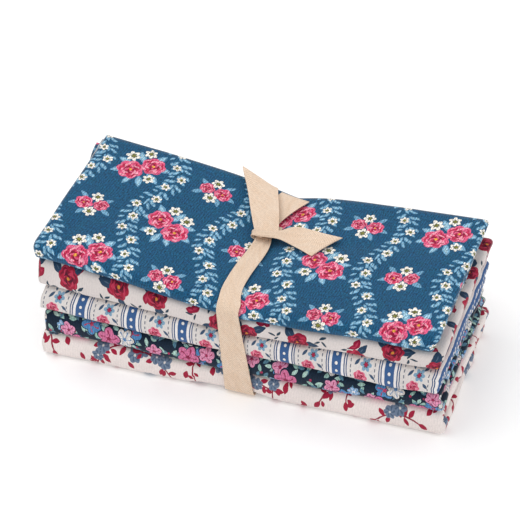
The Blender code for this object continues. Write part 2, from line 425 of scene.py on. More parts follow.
def add_cloth(index):
    """One fat quarter, folded and laid in the stack, with its printed side out."""
    cloth = CLOTHS[index]
    columns, rows = cloth_columns(cloth.longer * MM), cloth_rows()

    def place(column, row):
        return settle(*folded_point(column, row, index), index)

    work, spots = sheet_mesh(columns, rows, place)
    outer = rows[0].distance
    along_top = [Vector((c.x + outer * sin(c.turn), outer * cos(c.turn))) for c in columns]
    round_front = []
    for row in rows:
        reach = FOLD_RADIUS + row.distance
        round_front.append(Vector((row.y + row.out_y * reach, row.out_z * reach)))
    across, down = lengths_along(along_top), lengths_along(round_front)
    wide, high = CUT_LENGTH / across[-1], CUT_WIDTH / down[-1]
    bmesh.ops.reverse_faces(work, faces=work.faces)
    lay_flat(work, spots, lambda i, j: (across[i] * wide, down[j] * high))
    piece = add_piece(cloth.name + "_cloth", work)
    shell = thicken(piece, COTTON_THICKNESS)
    shell.material_offset = 1  # the reverse, where less dye shows
    return piece


# ---- the ribbon
# Over the top of the stack, in millimetres: `lift` is the height over the cloth, `facing`
# turns the width about Z, `tilt` raises its far side, `cup` bends its edges up and `pleat`
# is the height of its lengthwise pleats.
Tie = namedtuple("Tie", "x y lift width facing tilt cup pleat")
NOSE_TO_BACK = (
    Tie(-1.0, 22, 2.2, 11, 196, 0, 0, 0.2),
    Tie(-1.4, 15, 2.0, 13, 194, 0, 0, 0.2),
    Tie(-1.6, 10.8, 2.2, 14, 192, 0, 0, 0.3),
    Tie(-1.7, 9.0, 3.4, 15, 191, 0, 0, 0.4),
    Tie(-1.9, 8.8, 5.0, 15.5, 192, 0, -0.2, 0.45),
    Tie(-2.4, 10.2, 6.2, 15.8, 194, 0, -0.4, 0.5),
    Tie(-3.4, 13.4, 6.3, 16, 198, 0, -0.8, 0.6),
    Tie(-4.9, 17, 6.4, 16.8, 201, 0, -1.0, 0.5),
    Tie(-6.8, 21.5, 7.0, 17.8, 202, 0, -1.0, 0.35),
    Tie(-8.8, 26.5, 7.2, 18.5, 203, 0, -0.7, 0.2),
    Tie(-12.0, 34, 6.4, 19.4, 203.5, 2, -0.2, 0.1),
    Tie(-16.0, 43.5, 5.0, 20, 203, 6, 0.4, 0),
    Tie(-20.5, 54, 3.8, 21.5, 195, 10, 0.5, 0),
    Tie(-24.3, 61.6, 2.7, 26, 177, 15, 0, 0),
    Tie(-26.3, 66.0, 1.0, 30.5, 163.5, 17.5, 0, 0),
    Tie(-27.2, 69.0, -3.0, 30, 166, 15, 0, 0),
    Tie(-27.0, 70.0, -10.0, 24, 174, 7, 0, 0),
)
FRONT_TO_LEFT_TAIL = (
    Tie(-6.5, -50, 1.0, 13.5, 180, 10, 0.3, 0.15),
    Tie(-7.0, -40, 1.1, 12.5, 180, 10, 0.4, 0.25),
    Tie(-6.0, -24, 1.2, 12.5, 178, 10, 0.4, 0.35),
    Tie(-4.0, -8, 1.2, 12.5, 176, 10, 0.4, 0.45),
    Tie(-3.0, 4, 1.4, 11.5, 172, 9, 0.3, 0.55),
    Tie(-5.0, 14, 1.5, 11, 165, 9, 0, 0.5),
    Tie(-7.5, 23, 1.6, 14, 158, 10, 0, 0.3),
    Tie(-7.5, 32, 2.0, 18.5, 156, 8, 0.4, 0.1),
    Tie(-4.5, 40, 2.8, 20, 156, 4, 0.9, 0),
    Tie(-1.0, 48, 3.2, 20, 158, 1, 0.8, 0),
    Tie(2.6, 56, 3.4, 21.5, 168, 0, 0.2, 0),
)
RIGHT_TAIL = (
    Tie(-8.8, 9.6, 0.8, 6.0, 90, 0, 0, 0.2),
    Tie(-11.4, 9.4, 1.2, 6.2, 90, 0, -0.3, 0.25),
    Tie(-12.3, 9.2, 2.8, 6.4, 90, 0, -0.6, 0.3),
    Tie(-11.8, 9.0, 4.6, 6.6, 90, 0, -0.9, 0.35),
    Tie(-9.8, 8.8, 5.9, 6.8, 89, 0, -1.2, 0.4),
    Tie(-5.8, 8.5, 7.3, 7.0, 88, 0, -1.5, 0.4),
    Tie(-1.0, 8.7, 8.3, 7.2, 87, 0, -1.5, 0.4),
    Tie(3.6, 9.5, 8.1, 7.4, 86, 0, -1.3, 0.4),
    Tie(7.4, 10.6, 6.8, 9.0, 88, 5, -0.2, 0.5),
    Tie(11.5, 11.3, 5.4, 12.5, 92, 9, 2.2, 0.5),
    Tie(17, 11.2, 4.3, 16.8, 94, 10, 2.5, 0.35),
    Tie(25, 10.0, 3.2, 19.5, 92, 8, 1.1, 0.15),
    Tie(32, 8.8, 2.7, 21, 78, 7, -0.4, 0),
    Tie(40.5, 8.0, 2.6, 25.5, 54, 7, -0.9, 0),
)
HALF_TAPE_STEPS = 9
TAPE_SIDES = tuple(i / HALF_TAPE_STEPS for i in range(-HALF_TAPE_STEPS, HALF_TAPE_STEPS + 1))
HELD_LIMPNESS, LOOSE_LIMPNESS = 0.15, 0.09  # on the cloth, and more for each millimetre of lift
PLEATS = 1.05  # over half its width
PLEAT_SQUEEZE, PLEAT_DRIFT, PLEAT_RUN = 0.15, 1.2, 17 * MM  # how they change along the tape
LIMP_ACROSS, LIMP_RUN, LIMP_PART = 0.9, 13 * MM, 3.3  # its noise, across and along the tape
CUP_SINK = 0.4  # share of a cup's depth by which the tape's middle sinks
TAUT_PLEAT, TAUT_LIMPNESS = 0.1, 0.25  # where it is pulled round the stack

Station = namedtuple("Station", "centre across cup pleat limp")


def top_station(tie):
    """One place of the tape on top of the stack."""
    x, y = tie.x * MM, tie.y * MM
    z = level_height(len(CLOTHS), x, y) + tie.lift * MM
    turn, tilt = radians(tie.facing), radians(tie.tilt)
    across = Vector((cos(turn) * cos(tilt), sin(turn) * cos(tilt), sin(tilt)))
    limp = HELD_LIMPNESS + LOOSE_LIMPNESS * max(0.0, tie.lift)
    middle = Vector((x, y - MIDDLE_Y, z))
    return Station(middle, across * tie.width * MM / 2, tie.cup * MM, tie.pleat * MM, limp * MM)


FRONT_BEND, BACK_BEND = 6 * MM, 3.5 * MM
GROUND_GAP = 0.2 * MM
FRONT_EDGE_X, FRONT_EDGE_LIFT = -4, 1.2  # where the tape comes over the front, in millimetres
Corner = namedtuple("Corner", "y z radius first last facets x facing width tilt")


def around_stations():
    """The ribbon's way down the back, under the stack and up the front."""
    reach = FOLDED_DEPTH / 2 * (1 - TIE_DRAW_IN) + RIBBON_CLEARANCE
    low = TAPE_THICKNESS / 2 + GROUND_GAP
    edge = level_height(len(CLOTHS), FRONT_EDGE_X * MM, -FOLDED_DEPTH / 2)
    top = edge + FRONT_EDGE_LIFT * MM - FRONT_BEND
    back, front = reach - BACK_BEND, FRONT_BEND - reach
    corners = (
        Corner(back, low + BACK_BEND, BACK_BEND, 0, -90, 4, -12, 182, 20, 0),
        Corner(front, low + FRONT_BEND, FRONT_BEND, -90, -180, 5, 2, 180, 20, 0),
        Corner(front, top, FRONT_BEND, 180, 90, 5, FRONT_EDGE_X, 180, 15, 10),
    )
    stations = []
    for corner in corners:
        turn = radians(corner.facing)
        for i in range(corner.facets + 1):
            share = i / corner.facets
            angle = radians(corner.first + (corner.last - corner.first) * share)
            tilt = radians(corner.tilt * share)
            across = Vector((cos(turn), sin(turn), tan(tilt))) * corner.width * MM / 2
            y = corner.y + corner.radius * cos(angle) - MIDDLE_Y
            z = corner.z + corner.radius * sin(angle)
            middle = Vector((corner.x * MM, y, z))
            stations.append(Station(middle, across, 0.0, TAUT_PLEAT * MM, TAUT_LIMPNESS * MM))
    return stations


def tape_run(stations, start):
    """One run of the tape, with its flat cloth counted on from start, and where that ends."""
    down = [start + length for length in lengths_along([s.centre for s in stations])]
    normals = []
    for i, station in enumerate(stations):
        before, after = stations[max(0, i - 1)], stations[min(len(stations) - 1, i + 1)]
        normals.append((after.centre - before.centre).cross(station.across).normalized())

    def place(side, number):
        station = stations[number]
        drift = PLEAT_DRIFT * sin(down[number] / PLEAT_RUN)
        pleat = 1 - 2 * abs(sin(pi * (PLEATS + PLEAT_SQUEEZE * drift) * side + drift))
        limp = noise.noise(Vector((side * LIMP_ACROSS, down[number] / LIMP_RUN, LIMP_PART)))
        raised = station.cup * (side * side - CUP_SINK) + station.pleat * pleat + station.limp * limp
        return station.centre + station.across * side + normals[number] * raised

    work, spots = sheet_mesh(TAPE_SIDES, range(len(stations)), place)
    lay_flat(work, spots, lambda i, j: ((TAPE_SIDES[i] + 1) / 2 * TAPE_WIDTH, down[j]))
    return work, down[-1]


def add_ribbon():
    """The tied tape, in two runs that meet inside its knot, and its length."""
    long_run = [top_station(tie) for tie in NOSE_TO_BACK] + around_stations()
    long_run += [top_station(tie) for tie in FRONT_TO_LEFT_TAIL]
    tail = [top_station(tie) for tie in RIGHT_TAIL]
    both, length = bmesh.new(), 0.0
    both.loops.layers.uv.new("flat_cloth")
    for stations in (long_run, tail):
        work, length = tape_run(stations, length)
        strip = bpy.data.meshes.new("strip")
        work.to_mesh(strip)
        work.free()
        both.from_mesh(strip)
        bpy.data.meshes.remove(strip)
    piece = add_piece("ribbon_tied", both)
    rounding = piece.modifiers.new("rounding", "SUBSURF")
    rounding.levels = rounding.render_levels = 2
    rounding.boundary_smooth = "PRESERVE_CORNERS"
    thicken(piece, TAPE_THICKNESS)
    return piece, length


# ---- finishes
MATH, VECTOR, MIX = "ShaderNodeMath", "ShaderNodeVectorMath", "ShaderNodeMixRGB"
NOISE, SPLIT, JOIN = "ShaderNodeTexNoise", "ShaderNodeSeparateXYZ", "ShaderNodeCombineXYZ"
RANGE, BUMP = "ShaderNodeMapRange", "ShaderNodeBump"


def put(tree, kind, *values, out=0, **settings):
    """Adds one node, its inputs in order as values or links, and gives one of its outputs."""
    node = tree.nodes.new(kind)
    for name, value in settings.items():
        setattr(node, name, value)
    for socket, value in zip(node.inputs, values):
        if isinstance(value, bpy.types.NodeSocket):
            tree.links.new(value, socket)
        elif value is not None:
            socket.default_value = value
    return node.outputs[out]


def flat_places(tree, wander):
    """Place on the flat cloth in millimetres, even for weaves and hand-drawn for prints."""
    on_cloth = put(tree, "ShaderNodeUVMap", uv_map="flat_cloth")
    even = put(tree, VECTOR, on_cloth, None, None, 1 / MM, operation="SCALE")
    drift = put(tree, NOISE, even, None, 0.17, 1, 0.5, out="Color")
    centred = put(tree, VECTOR, drift, (0.5, 0.5, 0.5), operation="SUBTRACT")
    return even, put(tree, VECTOR, centred, (wander, wander, 0), even, operation="MULTIPLY_ADD")


def dye(tree, ground, measure, colour, reach=1.0):
    """Prints a colour over the ground inside a motif, which is where its measure is under 1."""
    inside = put(tree, MATH, measure, reach, operation="LESS_THAN")
    return put(tree, MIX, inside, ground, linear(colour))


def all_of(tree, measures):
    """The measure of several motifs together."""
    together = measures[0]
    for measure in measures[1:]:
        together = put(tree, MATH, together, measure, operation="MINIMUM")
    return together


def away_from(tree, place, line):
    """How far a place lies from a line, on either side of it."""
    return put(tree, MATH, put(tree, MATH, place, line, operation="SUBTRACT"), operation="ABSOLUTE")


def ridges(tree, place, pitch):
    """Even ridges and hollows between 1 and -1."""
    turns = put(tree, MATH, place, tau / pitch, operation="MULTIPLY")
    return put(tree, MATH, turns, operation="SINE")


def placed(tree, point, x, y, turn, length, width):
    """A point in a motif's own frame, where its half length and half width are 1."""
    centre, spin, size = (x, y, 0), (0, 0, radians(turn)), (length, width, 1)
    return put(tree, "ShaderNodeMapping", point, centre, spin, size, vector_type="TEXTURE")


Leaf = namedtuple("Leaf", "x y turn length width")


def leaves(tree, point, table):
    """Pointed leaves: the measure is 0 on their middles and 1 on their edges."""
    found = []
    for leaf in table:
        size = put(tree, VECTOR, placed(tree, point, *leaf), operation="ABSOLUTE")
        along = put(tree, SPLIT, size)
        found.append(put(tree, MATH, along, along, along.node.outputs[1], operation="MULTIPLY_ADD"))
    return all_of(tree, found)


def blossom(tree, point, x, y, turn, radius, petals, notch):
    """A round flower: the measure is 0 at its heart and 1 on its petals' edge, and its angle."""
    local = placed(tree, point, x, y, turn, radius, radius)
    parts = put(tree, SPLIT, local)
    angle = put(tree, MATH, parts.node.outputs[1], parts, operation="ARCTAN2")
    half_turns = put(tree, MATH, angle, petals / 2, operation="MULTIPLY")
    lobe = put(tree, MATH, put(tree, MATH, half_turns, operation="COSINE"), operation="ABSOLUTE")
    edge = put(tree, MATH, lobe, notch, 1 - notch, operation="MULTIPLY_ADD")
    distance = put(tree, VECTOR, local, operation="LENGTH", out=1)
    return put(tree, MATH, distance, edge, operation="DIVIDE"), angle


def half_drop(tree, point, across, along):
    """A repeat whose every second column is dropped by half and mirrored."""
    parts = put(tree, SPLIT, point)
    column = put(tree, MATH, parts, 1 / across, 0.5, operation="MULTIPLY_ADD")
    odd = put(tree, MATH, put(tree, MATH, column, operation="FLOOR"), 2, operation="FLOORED_MODULO")
    dropped = put(tree, MATH, odd, along / 2, parts.node.outputs[1], operation="MULTIPLY_ADD")
    moved = put(tree, JOIN, parts, dropped, 0)
    top, bottom = (across / 2, along / 2, 1), (-across / 2, -along / 2, -1)
    local = put(tree, VECTOR, moved, top, bottom, operation="WRAP")
    mirrored = put(tree, MATH, odd, -2, 1, operation="MULTIPLY_ADD")
    return put(tree, VECTOR, local, put(tree, JOIN, mirrored, 1, 1), operation="MULTIPLY")


def strewn(tree, point, spacing, seed, randomness):
    """Places strewn over the cloth, each with its own turn, and a random number for each."""
    far = seed * 37.1, seed * 17.3, 0  # where this strewing lies in the endless pattern
    moved = put(tree, VECTOR, point, far, operation="ADD")
    blanks = (None, None, None, None)
    cells = put(
        tree, "ShaderNodeTexVoronoi", moved, None, 1 / spacing, 0, *blanks, randomness,
        out="Position", voronoi_dimensions="2D",
    )
    local = put(tree, VECTOR, moved, cells, operation="SUBTRACT")
    chance = put(tree, SPLIT, cells.node.outputs["Color"])
    spin = put(tree, MATH, chance, tau, operation="MULTIPLY")
    turned = put(tree, "ShaderNodeVectorRotate", local, None, None, spin, rotation_type="Z_AXIS")
    return turned, chance.node.outputs[1]


Rose = namedtuple("Rose", "petals tips shade core heart")
PINK_ROSE = Rose("D9597F", "EE9AAE", "BE2850", "8E1238", "E39E44")
RED_ROSE = Rose("A31937", "BC3552", "780F2E", "520B26", "CE8634")
SMALL_PINK = Rose("D8617F", "EA94A8", "B62C52", "8A1838", "B8405C")


def petal_folds(tree, measure, angle, arms, twist, bias, middle, half):
    """Curved strokes between petals, on a ring of a flower: the measure is 1 on their edges."""
    turned = put(tree, MATH, measure, twist, operation="MULTIPLY")
    spiral = put(tree, MATH, angle, arms, turned, operation="MULTIPLY_ADD")
    wave = put(tree, MATH, put(tree, MATH, spiral, operation="SINE"), -1, bias, operation="MULTIPLY_ADD")
    ring = put(tree, MATH, away_from(tree, measure, middle), 1 / half, operation="MULTIPLY")
    return put(tree, MATH, wave, ring, operation="MAXIMUM")


def rose(tree, ground, point, x, y, turn, radius, tones):
    """A full-blown flower: frilled petals with lit tips, shaded ones within and a bright heart."""
    measure, angle = blossom(tree, point, x, y, turn, radius, 7, 0.15)
    ground = dye(tree, ground, measure, tones.petals)
    for arms, twist, bias, middle, half, colour in (
        (5, -8, 1.45, 0.76, 0.17, tones.tips),
        (3, 7, 0.95, 0.42, 0.42, tones.shade),
        (4, -11, 1.25, 0.50, 0.16, tones.tips),
        (3, 12, 1.1, 0.2, 0.27, tones.core),
    ):
        strokes = petal_folds(tree, measure, angle, arms, twist, bias, middle, half)
        ground = dye(tree, ground, strokes, colour)
    return dye(tree, ground, measure, tones.heart, 0.13)


def daisy(tree, ground, point, x, y, turn, radius, petals="EFEAE0", heart="7B7A3A"):
    """A small open flower with a dark ring round its heart."""
    measure, _ = blossom(tree, point, x, y, turn, radius, 6, 0.42)
    ground = dye(tree, ground, measure, petals)
    ground = dye(tree, ground, measure, "3C4A50", 0.46)
    return dye(tree, ground, measure, heart, 0.34)


def blue_print(tree, point):
    """Wavy leafy trails with small blossoms, and clusters of round blossoms between them."""
    trail_pitch, wave, sway, spray_step, flower_step = 54.0, 92.0, 8.0, 9.9, 23
    light, pale = "6E9FBE", "9CC3D6"
    cloudy = put(tree, NOISE, point, None, 0.16, 2, 0.6)
    ground = put(tree, MIX, cloudy, linear("145672"), linear("184B76"))
    parts = put(tree, SPLIT, point)
    along = parts.node.outputs[1]

    def on_trail(step, offset):
        """A point in the frame of the trail's nearest step, which turns as the trail bends."""
        counted = put(tree, MATH, along, offset + step / 2, operation="ADD")
        first = put(tree, MATH, counted, step, operation="SNAP")
        passed = put(tree, MATH, counted, first, operation="SUBTRACT")
        rest = put(tree, MATH, passed, step / 2, operation="SUBTRACT")
        each = tau / wave
        phase = put(tree, MATH, first, each, -offset * each, operation="MULTIPLY_ADD")
        swing = put(tree, MATH, phase, operation="SINE")
        bend = put(tree, MATH, swing, -sway, parts, operation="MULTIPLY_ADD")
        near = put(tree, MATH, bend, trail_pitch / 2, -trail_pitch / 2, operation="WRAP")
        lean = put(tree, MATH, phase, operation="COSINE")
        slope = put(tree, MATH, lean, sway * each, operation="MULTIPLY")
        turn = put(tree, MATH, slope, operation="ARCTANGENT")
        moved = put(tree, JOIN, near, rest, 0)
        return put(tree, "ShaderNodeVectorRotate", moved, None, None, turn, rotation_type="Z_AXIS")

    for offset, *table in (
        (0.0, Leaf(2.9, 0.4, 40, 3.1, 1.35), Leaf(6.2, 1.5, 58, 2.3, 1.05), Leaf(-0.2, 1.2, 84, 2.2, 1)),
        (3.3, Leaf(-2.9, 0.4, 140, 3.1, 1.35), Leaf(-6.2, 1.5, 122, 2.3, 1.05), Leaf(5, -1, 28, 2.3, 1)),
        (6.6, Leaf(0.5, 0, 80, 2.5, 1.1), Leaf(-5, -1, 152, 2.3, 1), Leaf(3.4, 1, 52, 2.5, 1.05)),
    ):
        spray = leaves(tree, on_trail(spray_step, offset), table)
        ground = dye(tree, ground, spray, light)
        ground = dye(tree, ground, spray, pale, 0.3)
    ground = daisy(tree, ground, on_trail(flower_step, 0.0), 2.4, 0, 10, 3.6)
    ground = daisy(tree, ground, on_trail(flower_step, flower_step / 2), -2.6, 0, 35, 3.3)

    shifted = put(tree, VECTOR, point, (-trail_pitch / 2, -wave / 4, 0), operation="ADD")
    big = half_drop(tree, shifted, trail_pitch, wave)
    spray = leaves(tree, big, (
        Leaf(sway - 14, 6.5, 150, 5.8, 2.4),
        Leaf(sway + 11, 7.5, 32, 6.0, 2.7),
        Leaf(sway + 3.5, 13, 70, 6.0, 2.5),
        Leaf(sway - 4.5, 14, 112, 5.0, 2.1),
        Leaf(sway + 15, -4, 2, 5.2, 2.3),
        Leaf(sway + 9.5, -13.5, -58, 5.6, 2.5),
        Leaf(sway - 3, -11, -120, 6.6, 2.6),
        Leaf(sway - 13, -4, 190, 5.2, 2.2),
    ))
    ground = dye(tree, ground, spray, light)
    ground = dye(tree, ground, spray, pale, 0.5)
    ground = dye(tree, ground, spray, light, 0.04)
    ground = rose(tree, ground, big, sway - 6.2, 3.6, 15, 9.4, PINK_ROSE)
    ground = rose(tree, ground, big, sway + 7.2, -4.8, 50, 8.8, PINK_ROSE)
    ground = daisy(tree, ground, big, sway - 9.5, -10.0, 0, 5.2)
    ground = daisy(tree, ground, big, sway + 9.0, 8.6, 20, 4.2)
    ground = daisy(tree, ground, big, sway + 1.2, -16.4, 20, 4.6)

    shifted = put(tree, VECTOR, point, (-trail_pitch / 2, wave / 4, 0), operation="ADD")
    small = half_drop(tree, shifted, trail_pitch, wave)
    ground = dye(tree, ground, leaves(tree, small, (
        Leaf(11.0 - sway, 4.5, 30, 4.6, 1.8),
        Leaf(-11.0 - sway, 3.0, 155, 4.6, 1.8),
        Leaf(9.0 - sway, -6.0, -40, 4.4, 1.7),
        Leaf(-8.0 - sway, -6.5, 220, 4.4, 1.7),
        Leaf(-4.5 - sway, 9.5, 115, 4.2, 1.6),
    )), light)
    ground = rose(tree, ground, small, -5.4 - sway, 0.8, 0, 6.2, PINK_ROSE)
    ground = rose(tree, ground, small, 6.0 - sway, -0.8, 30, 5.4, SMALL_PINK)
    ground = daisy(tree, ground, small, 0.9 - sway, -7.6, 10, 4.4)
    return daisy(tree, ground, small, 1.2 - sway, 7.6, 30, 4.8)


def rose_print(tree, point):
    """Strewn red roses with dark leaves on cream."""
    ground = linear("DED5D2")
    sprig, _ = strewn(tree, point, 19, 4, 0.7)
    ground = dye(tree, ground, leaves(tree, sprig, (
        Leaf(0, 2.8, 100, 2.8, 0.85),
        Leaf(2.2, -0.8, 20, 2.5, 0.8),
        Leaf(-2.4, -1.0, 200, 2.3, 0.8),
    )), "2C4152")
    bud, _ = strewn(tree, point, 27, 9, 0.6)
    petals = leaves(tree, bud, (Leaf(0, 0, 30, 3.7, 2.3), Leaf(2.2, 2.4, 80, 3.2, 1.9)))
    ground = dye(tree, ground, petals, "97163A")
    ground = dye(tree, ground, petals, "BC3554", 0.3)
    spot, _ = strewn(tree, point, 31, 2, 0.45)
    spray = leaves(tree, spot, (
        Leaf(8.4, 3, 20, 5.8, 2.9),
        Leaf(-7.6, 4.6, 150, 5.4, 2.6),
        Leaf(1, -9.0, -80, 5.2, 2.4),
    ))
    ground = dye(tree, ground, spray, "26405A")
    ground = dye(tree, ground, spray, "4A6078", 0.12)
    return rose(tree, ground, spot, 0, 0, 0, 7.2, RED_ROSE)


def striped_print(tree, point):
    """Dotted blue bands between thin lines, with rows of small flowers on the cream between."""
    ground = linear("E0DAD7")
    band_pitch, flower_pitch, dot_pitch, stitch_pitch = 35.3, 22.0, 4.7, 3.0
    band_shift, flower_shift = 7.4, -15.5  # bring a band and its flowers to the end fold
    unbroken, dark = 1000, "34507C"
    point = put(tree, VECTOR, point, (band_shift, flower_shift, 0), operation="ADD")

    def column(step, offset):
        moved = put(tree, VECTOR, point, (offset, 0, 0), operation="ADD")
        top, bottom = (band_pitch / 2, step / 2, 1), (-band_pitch / 2, -step / 2, -1)
        return put(tree, VECTOR, moved, top, bottom, operation="WRAP")

    aside = put(tree, SPLIT, put(tree, VECTOR, column(unbroken, 0), operation="ABSOLUTE"))
    for reach, colour in ((7.1, dark), (6.4, "EDE8E6"), (5.7, dark), (4.9, "EFEBEA"), (3.1, "3A5F92")):
        ground = dye(tree, ground, aside, colour, reach)
    away = put(tree, VECTOR, column(dot_pitch, 0), operation="LENGTH", out=1)
    ground = dye(tree, ground, away, "EFEBE6", 0.95)
    for side in (-9.6, 9.6):
        stitches = placed(tree, column(stitch_pitch, side), 0, 0, 0, 0.32, 0.85)
        box = put(tree, SPLIT, put(tree, VECTOR, stitches, operation="ABSOLUTE"))
        stitch = put(tree, MATH, box, box.node.outputs[1], operation="MAXIMUM")
        ground = dye(tree, ground, stitch, "5A6474")
    garden = column(flower_pitch, band_pitch / 2)
    ground = dye(tree, ground, leaves(tree, garden, (
        Leaf(6.3, 1.8, 40, 2.4, 0.9),
        Leaf(5.6, -8.4, -50, 2.2, 0.9),
        Leaf(-3.8, -4.8, 130, 2.4, 0.9),
        Leaf(4.0, 7.6, -35, 2.2, 0.9),
        Leaf(-5.6, 9.3, 165, 2.2, 0.9),
        Leaf(-2.0, -9.0, 80, 2.0, 0.8),
    )), "3C5470")
    ground = rose(tree, ground, garden, -1.7, 3.9, 0, 4.6, SMALL_PINK)
    return daisy(tree, ground, garden, 2.0, -4.2, 0, 3.8, "7FA3BE", "A82446")


def navy_print(tree, point):
    """Crowded leaves with blossoms in pinks, blues and white on navy."""
    navy = "0D2236"
    ground = linear(navy)
    for seed, spacing, colour in ((1, 7.8, "92B8AE"), (5, 9.2, "547F94"), (8, 10.4, "ABCCC2")):
        spot, _ = strewn(tree, point, spacing, seed, 0.7)
        ground = dye(tree, ground, leaves(tree, spot, (Leaf(0, 0, 0, 2.7, 1.2),)), colour)
    berries, _ = strewn(tree, point, 11.5, 11, 0.8)
    away = put(tree, VECTOR, berries, operation="LENGTH", out=1)
    ground = dye(tree, ground, away, "A82D55")
    for seed, spacing, radius, petals, colour, heart in (
        (3, 34, 7.0, 5, "4F86B8", "B43E5C"),
        (13, 29, 4.2, 6, "7FA6CC", "E8E2DE"),
        (6, 35, 6.6, 6, "DFDAD6", "5B86B4"),
        (29, 31, 5.6, 5, "D98FB0", "9C2C54"),
        (24, 30, 8.0, 5, "CF7099", "8E2148"),
    ):
        spot, _ = strewn(tree, point, spacing, seed, 0.5)
        measure, angle = blossom(tree, spot, 0, 0, 0, radius, petals, 0.34)
        ground = dye(tree, ground, measure, navy, 1.12)
        ground = dye(tree, ground, measure, colour)
        veins = petal_folds(tree, measure, angle, petals, 3, 1.9, 0.45, 0.32)
        ground = dye(tree, ground, veins, heart)
        ground = dye(tree, ground, measure, heart, 0.22)
    return ground


def branch_print(tree, point):
    """Sprays of red leaves and dusty blue flowers on bent twigs, strewn on cream."""
    ground = linear("F0E5E1")
    red, twig_red, dusty, shaded = "A51C3C", "92203C", "6F8098", "52657E"
    twig_bend, twig_rise, twig_half_width, twig_half_length = 1 / 42, 2, 0.55, 17
    loose, _ = strewn(tree, point, 17, 3, 0.7)
    ground = dye(tree, ground, leaves(tree, loose, (Leaf(0, 0, 0, 3.0, 1.7),)), red)
    for seed, spacing in ((2, 35), (12, 40)):
        spot, _ = strewn(tree, point, spacing, seed, 0.4)
        parts = put(tree, SPLIT, spot)
        square = put(tree, MATH, parts, parts, operation="MULTIPLY")
        bent = put(tree, MATH, square, twig_bend, parts.node.outputs[1], operation="MULTIPLY_ADD")
        thick = put(tree, MATH, away_from(tree, bent, twig_rise), twig_half_width, operation="DIVIDE")
        length = put(tree, MATH, away_from(tree, parts, 0), twig_half_length, operation="DIVIDE")
        ground = dye(tree, ground, put(tree, MATH, thick, length, operation="MAXIMUM"), twig_red)
        ground = dye(tree, ground, leaves(tree, spot, (
            Leaf(16.5, -4.4, -35, 3.4, 1.7),
            Leaf(9.4, 2.8, 55, 3.0, 1.5),
            Leaf(-16.5, -4.6, 215, 3.4, 1.7),
            Leaf(-10.4, 2.6, 130, 3.2, 1.6),
            Leaf(5.6, -1.6, -60, 2.8, 1.4),
            Leaf(-6.4, -2.2, 250, 3.0, 1.4),
            Leaf(12.6, -4.8, -80, 2.2, 1.2),
        )), red)
        for x, y, radius in ((-2.4, 5.2, 4.9), (3.8, 3.2, 4.2)):
            measure, angle = blossom(tree, spot, x, y, 0, radius, 6, 0.24)
            ground = dye(tree, ground, measure, dusty)
            veins = petal_folds(tree, measure, angle, 6, 4, 1.4, 0.5, 0.3)
            ground = dye(tree, ground, veins, shaded)
            ground = dye(tree, ground, measure, "DCD6D2", 0.16)
    return ground


def new_material(name):
    """A material, its nodes and its shader."""
    material = bpy.data.materials.new(name)
    material.use_nodes = True
    return material, material.node_tree, material.node_tree.nodes["Principled BSDF"]


def dress_cotton(tree, shader, colour, dryness, bump, sheen):
    """Gives a shader cotton's dry surface, with its loose fibres as sheen."""
    for name, value in (("Base Color", colour), ("Roughness", dryness), ("Normal", bump)):
        tree.links.new(value, shader.inputs[name])
    shader.inputs["Specular IOR Level"].default_value = 0.25
    shader.inputs["Sheen Weight"].default_value = sheen
    shader.inputs["Sheen Roughness"].default_value = 0.5


def printed_cotton(name, print_colours, wander, depth, dyed_through):
    """Plain-woven cotton, printed and pressed: matt, with a slight sheen of loose fibres."""
    material, tree, shader = new_material(name)
    even, drawn = flat_places(tree, wander)
    colour = put(tree, MIX, dyed_through, linear("E4DEDA"), print_colours(tree, drawn))
    # Threads lie 0.36 mm apart, too fine to show. They are drawn 1.8 mm apart, a little off
    # the cloth's grain, with slubs between them that are about 1 mm wide and longer one way.
    thread_pitch, thread_lean = 1.8, 0.14
    slub = 98, 2.2, 0.76  # turn, length and width
    parts = put(tree, SPLIT, even)
    along, across = parts, parts.node.outputs[1]
    off_grain = put(tree, MATH, across, thread_lean, along, operation="MULTIPLY_ADD")
    threads = ridges(tree, off_grain, thread_pitch)
    grain = put(tree, NOISE, placed(tree, even, 0, 0, *slub), None, 1.0, 3, 0.62)
    fine = put(tree, NOISE, even, None, 1.2, 1, 0.5)
    slubs = put(tree, MATH, fine, 0.5, grain, operation="MULTIPLY_ADD")
    weave = put(tree, MATH, threads, 0.05, slubs, operation="MULTIPLY_ADD")
    cloudy = put(tree, NOISE, even, None, 0.022, 3, 0.6)  # patches about 45 mm wide
    tone = put(tree, RANGE, cloudy, 0.3, 0.7, 0.94, 1.04)
    fibres = put(tree, RANGE, weave, 0.55, 0.95, 1 - depth, 1 + depth)
    shade = put(tree, MATH, tone, fibres, operation="MULTIPLY")
    toned = put(tree, VECTOR, colour, None, None, shade, operation="SCALE")

    # Dye rubs off along the pressed end fold, and undyed thread ends show at the raw edges.
    wide, high = CUT_LENGTH / MM, CUT_WIDTH / MM
    end_fold = ((along, wide / 2),)
    raw_edges = ((along, 0), (along, wide), (across, 0), (across, high))
    patchy = put(tree, RANGE, grain, 0.4, 0.6, 0.4, 1)
    for strength, reach, lines in ((0.18, 1.5, end_fold), (0.3, 0.8, raw_edges)):
        near = all_of(tree, [away_from(tree, place, line) for place, line in lines])
        close = put(tree, RANGE, near, 0.3 * reach, reach, strength, 0)
        bare = put(tree, MATH, close, patchy, operation="MULTIPLY")
        toned = put(tree, MIX, bare, toned, linear("D8D2CC"))
    dry = put(tree, RANGE, grain, 0.3, 0.7, 0.8, 0.95)
    bump = put(tree, BUMP, 0.6, 0.4 * MM, None, weave)
    dress_cotton(tree, shader, toned, dry, bump, 0.1)
    return material


